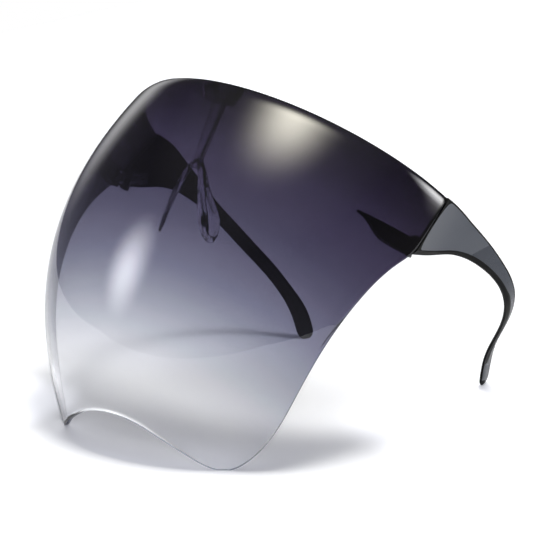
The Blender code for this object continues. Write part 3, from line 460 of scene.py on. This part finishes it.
# only the moulding itself is kept, not the specks that remeshing leaves
topFace = max(bridge.data.polygons, key=lambda face: face.center.z).index
selectOnly(bridge, "FACE", lambda face: face.index == topFace)
bpy.ops.mesh.select_linked()
deleteUnselectedFaces()
applyModifier(bridge, "SMOOTH", factor=bridgePiece["smoothFactor"], iterations=bridgePiece["smoothSteps"])
finishPiece(bridge, "nose_piece", bridgePiece["smoothAngle"])
print("nose piece done,", len(bridge.data.polygons), "faces")

# hinges: leaves, pins and screws keep the frame's shapes, with broken edges
hingePiece = {"edgeRound": 0.08 * mm, "edgeAngle": 40, "smoothAngle": 32}
metalParts = ("hinge_screw", "end_leaf", "temple_leaf", "end_leaf_screw_1", "end_leaf_screw_2",
              "temple_leaf_screw_1", "temple_leaf_screw_2")
for side in ("left", "right"):
    for part in metalParts:
        piece = copyOfPart(side + "_" + part, side + "_plated_" + part, [hingeMetal])
        roundEdges(piece, hingePiece["edgeRound"], hingePiece["edgeAngle"], segments=1)
        finishPiece(piece, side + "_" + part, hingePiece["smoothAngle"])
print("hinges done")

# board: matt white, with a white glow painted on where the camera sees it: painted shade inside the shield,
# painted pools of light in two patches beside it and painted light that grows far off
boardLook = {
    "width": 1.08, "depth": 2.1, "centre": (-0.02, 0.52, 0.0),
    "colour": "#f0f0f0", "mottled": "#f3f3f3", "mottle": 333.0 * mm,
    "paintedGlow": "#f4f6ff",
    # each patch goes from its level, near its centre, to the level beyond, and all of them add up
    "paintedLightAndShade": (
        # painted shade: no glow under and inside the shield, rising to the board's level around it
        {"centre": (-0.020, -0.005, 0.0), "near": 0.020, "far": 0.080, "level": 0.0, "beyond": 0.29},
        # painted light: nothing near the piece, growing to the most far off
        {"centre": (0.0, 0.0, 0.0), "near": 0.25, "far": 1.00, "level": 0.0, "beyond": 0.55},
        # painted pools of light beside the shield, by its near corner and by its left lobe
        {"centre": (0.077, 0.042, 0.0), "near": 0.032, "far": 0.060, "level": 0.40, "beyond": 0.0},
        {"centre": (-0.090, -0.070, 0.0), "near": 0.028, "far": 0.045, "level": 0.40, "beyond": 0.0},
    ),
}


def seenDirectly(material):
    # 1 for what the camera sees, also through the clear pieces, and 0 for light and mirror images
    path = addNode(material, "ShaderNodeLightPath")
    seen = addNode(material, "ShaderNodeMath", {"operation": "MAXIMUM"},
                   {0: path.outputs["Is Camera Ray"], 1: path.outputs["Is Transmission Ray"]})
    return seen.outputs[0]


def paintedBoard():
    look = boardLook
    material = newMaterial("matt white painted board")
    place = addNode(material, "ShaderNodeTexCoord")
    mottle = addNode(material, "ShaderNodeTexNoise", {"Scale": 1.0 / look["mottle"], "Detail": 2.0},
                     {"Vector": place.outputs["Object"]})
    paint = addNode(material, "ShaderNodeMixRGB",
                    {"Color1": linearColour(look["colour"]), "Color2": linearColour(look["mottled"])},
                    {"Fac": mottle.outputs["Fac"]})
    matt = addNode(material, "ShaderNodeBsdfPrincipled", {"Roughness": 0.9, "Specular IOR Level": 0.0},
                   {"Base Color": paint.outputs["Color"]})
    levels = []
    for patch in look["paintedLightAndShade"]:
        away = addNode(material, "ShaderNodeVectorMath", {"operation": "DISTANCE", 1: patch["centre"]},
                       {0: place.outputs["Object"]})
        level = addNode(material, "ShaderNodeMapRange",
                        {"interpolation_type": "SMOOTHSTEP",
                         "From Min": patch["near"], "From Max": patch["far"],
                         "To Min": patch["level"], "To Max": patch["beyond"]},
                        {"Value": away.outputs["Value"]})
        levels.append(level.outputs["Result"])
    # the painted shade and painted light of all the patches add up
    paintedGlow = levels[0]
    for level in levels[1:]:
        paintedGlow = addNode(material, "ShaderNodeMath", {"operation": "ADD"}, {0: paintedGlow, 1: level}).outputs[0]
    shown = addNode(material, "ShaderNodeMath", {"operation": "MULTIPLY"},
                    {0: seenDirectly(material), 1: paintedGlow})
    glow = addNode(material, "ShaderNodeEmission", {"Color": linearColour(look["paintedGlow"])},
                   {"Strength": shown.outputs[0]})
    both = addNode(material, "ShaderNodeAddShader", links={0: matt.outputs[0], 1: glow.outputs[0]})
    addNode(material, "ShaderNodeOutputMaterial", links={"Surface": both.outputs[0]})
    return material


deselectAll()
bpy.ops.mesh.primitive_plane_add(size=1.0, location=boardLook["centre"])
board = bpy.context.object
board.name = "board"
board.scale = (boardLook["width"], boardLook["depth"], 1.0)
bpy.ops.object.transform_apply(location=True, scale=True)
board.data.materials.append(paintedBoard())

# sky: dark grey all round and lighter overhead, and white where it is seen directly
skyLook = {"greys": ((0.0, 0.1), (0.6, 0.06), (0.85, 0.2), (1.0, 0.4)), "background": "#ffffff"}
studioSky = bpy.data.worlds.new("studio")
scene.world = studioSky
studioSky.use_nodes = True
studioSky.node_tree.nodes.clear()
skyWhere = addNode(studioSky, "ShaderNodeTexCoord")
skyHeight = addNode(studioSky, "ShaderNodeSeparateXYZ", links={0: skyWhere.outputs["Generated"]})
skyRamp = addNode(studioSky, "ShaderNodeValToRGB", links={"Fac": skyHeight.outputs["Z"]})
setRamp(skyRamp, [(height, (grey, grey, grey, 1.0)) for height, grey in skyLook["greys"]])
skyColour = addNode(studioSky, "ShaderNodeMixRGB", {"Color2": linearColour(skyLook["background"])},
                    {"Fac": seenDirectly(studioSky), "Color1": skyRamp.outputs["Color"]})
skyLight = addNode(studioSky, "ShaderNodeBackground", links={"Color": skyColour.outputs["Color"]})
addNode(studioSky, "ShaderNodeOutputWorld", links={"Surface": skyLight.outputs[0]})


def standBack(name, data, view):
    # an object at view's distance from its aim, looking at it
    # azimuth goes from straight ahead of the wearer towards the left ear
    turn, rise = math.radians(view["azimuth"]), math.radians(view["elevation"])
    backwards = Vector((math.sin(turn) * math.cos(rise), -math.cos(turn) * math.cos(rise), math.sin(rise)))
    holder = bpy.data.objects.new(name, data)
    scene.collection.objects.link(holder)
    holder.location = Vector(view["aim"]) + backwards * view["distance"]
    holder.rotation_euler = backwards.to_track_quat("Z", "Y").to_euler()
    return holder


def addSoftbox(name, box):
    lamp = bpy.data.lights.new(name, "AREA")
    lamp.shape = "ELLIPSE"
    lamp.size, lamp.size_y = box["width"], box["height"]
    # a matt ellipse gives off pi times its area times its brightness, in watts
    lamp.energy = math.pi ** 2 / 4.0 * box["width"] * box["height"] * box["brightness"]
    lamp.color = linearColour(box["colour"])[:3]
    lamp.use_nodes = True
    lamp.node_tree.nodes.clear()
    # the cloth is brightest over its bulb and fades out to its rim, half its width away
    bulb = (0.5, 0.5, 0.0)
    rim = 0.5
    where = addNode(lamp, "ShaderNodeNewGeometry")
    fromBulb = addNode(lamp, "ShaderNodeVectorMath", {"operation": "DISTANCE", 1: bulb},
                       {0: where.outputs["Parametric"]})
    fade = addNode(lamp, "ShaderNodeMapRange",
                   {"interpolation_type": "SMOOTHSTEP", "From Min": 0.0, "From Max": rim,
                    "To Min": 1.0, "To Max": 0.0}, {"Value": fromBulb.outputs["Value"]})
    falloff = addNode(lamp, "ShaderNodeMath", {"operation": "POWER", 1: box["falloff"]},
                      {0: fade.outputs["Result"]})
    glow = addNode(lamp, "ShaderNodeEmission", links={"Strength": falloff.outputs[0]})
    addNode(lamp, "ShaderNodeOutputLight", links={"Surface": glow.outputs[0]})
    holder = standBack(name, lamp, box)
    holder.visible_glossy = holder.visible_transmission = box["mirrored"]
    holder.visible_diffuse = box["lights"]


softboxes = {
    # a key almost overhead lights the board and draws the shadow
    "overheadKey": {"aim": (0.0, 0.0, 0.0), "azimuth": 108, "elevation": 78.5, "distance": 2.2,
                    "width": 1.2, "height": 1.2, "falloff": 1.2, "brightness": 42.0, "colour": "#ffffff",
                    "mirrored": False, "lights": True},
    # the others are mirrored in the visor and the temples, and only the strip lights the board as well
    "overheadSoftbox": {"aim": (0.0355, -0.0224, 0.126), "azimuth": 20, "elevation": 87, "distance": 1.2,
                        "width": 1.7, "height": 1.7, "falloff": 3.4, "brightness": 14.5, "colour": "#fffbea",
                        "mirrored": True, "lights": False},
    "leftPanel": {"aim": (-0.03, -0.05, 0.110), "azimuth": -118, "elevation": 8, "distance": 2.0,
                  "width": 1.5, "height": 1.2, "falloff": 1.2, "brightness": 1.1, "colour": "#ffffff",
                  "mirrored": True, "lights": False},
    "frontStrip": {"aim": (0.0017, -0.0747, 0.076), "azimuth": -43, "elevation": 18, "distance": 1.5,
                   "width": 0.80, "height": 1.1, "falloff": 1.2, "brightness": 7.3, "colour": "#ffffff",
                   "mirrored": True, "lights": True},
    "rearPanel": {"aim": (0.0713, -0.0046, 0.088), "azimuth": 148, "elevation": 16, "distance": 1.4,
                  "width": 1.05, "height": 1.05, "falloff": 1.2, "brightness": 9.5, "colour": "#ffffff",
                  "mirrored": True, "lights": False},
}
for name, box in softboxes.items():
    addSoftbox(name, box)

# camera at the photograph's viewing angle
photoCamera = {
    "azimuth": 42.001, "elevation": 15.848, "distance": 1.5517, "aim": (0.00806, -0.00514, 0.060),
    "pixelsPerMm": 2.5780, "frameSide": 533, "sensorWidth": 36.0,
}
cameraData = bpy.data.cameras.new("photoCamera")
cameraData.sensor_width = photoCamera["sensorWidth"]
frameWidth = photoCamera["frameSide"] / photoCamera["pixelsPerMm"] * mm  # what the frame covers at the aim
cameraData.lens = photoCamera["sensorWidth"] * photoCamera["distance"] / frameWidth
scene.camera = standBack("photoCamera", cameraData, photoCamera)
print("studio and camera done")
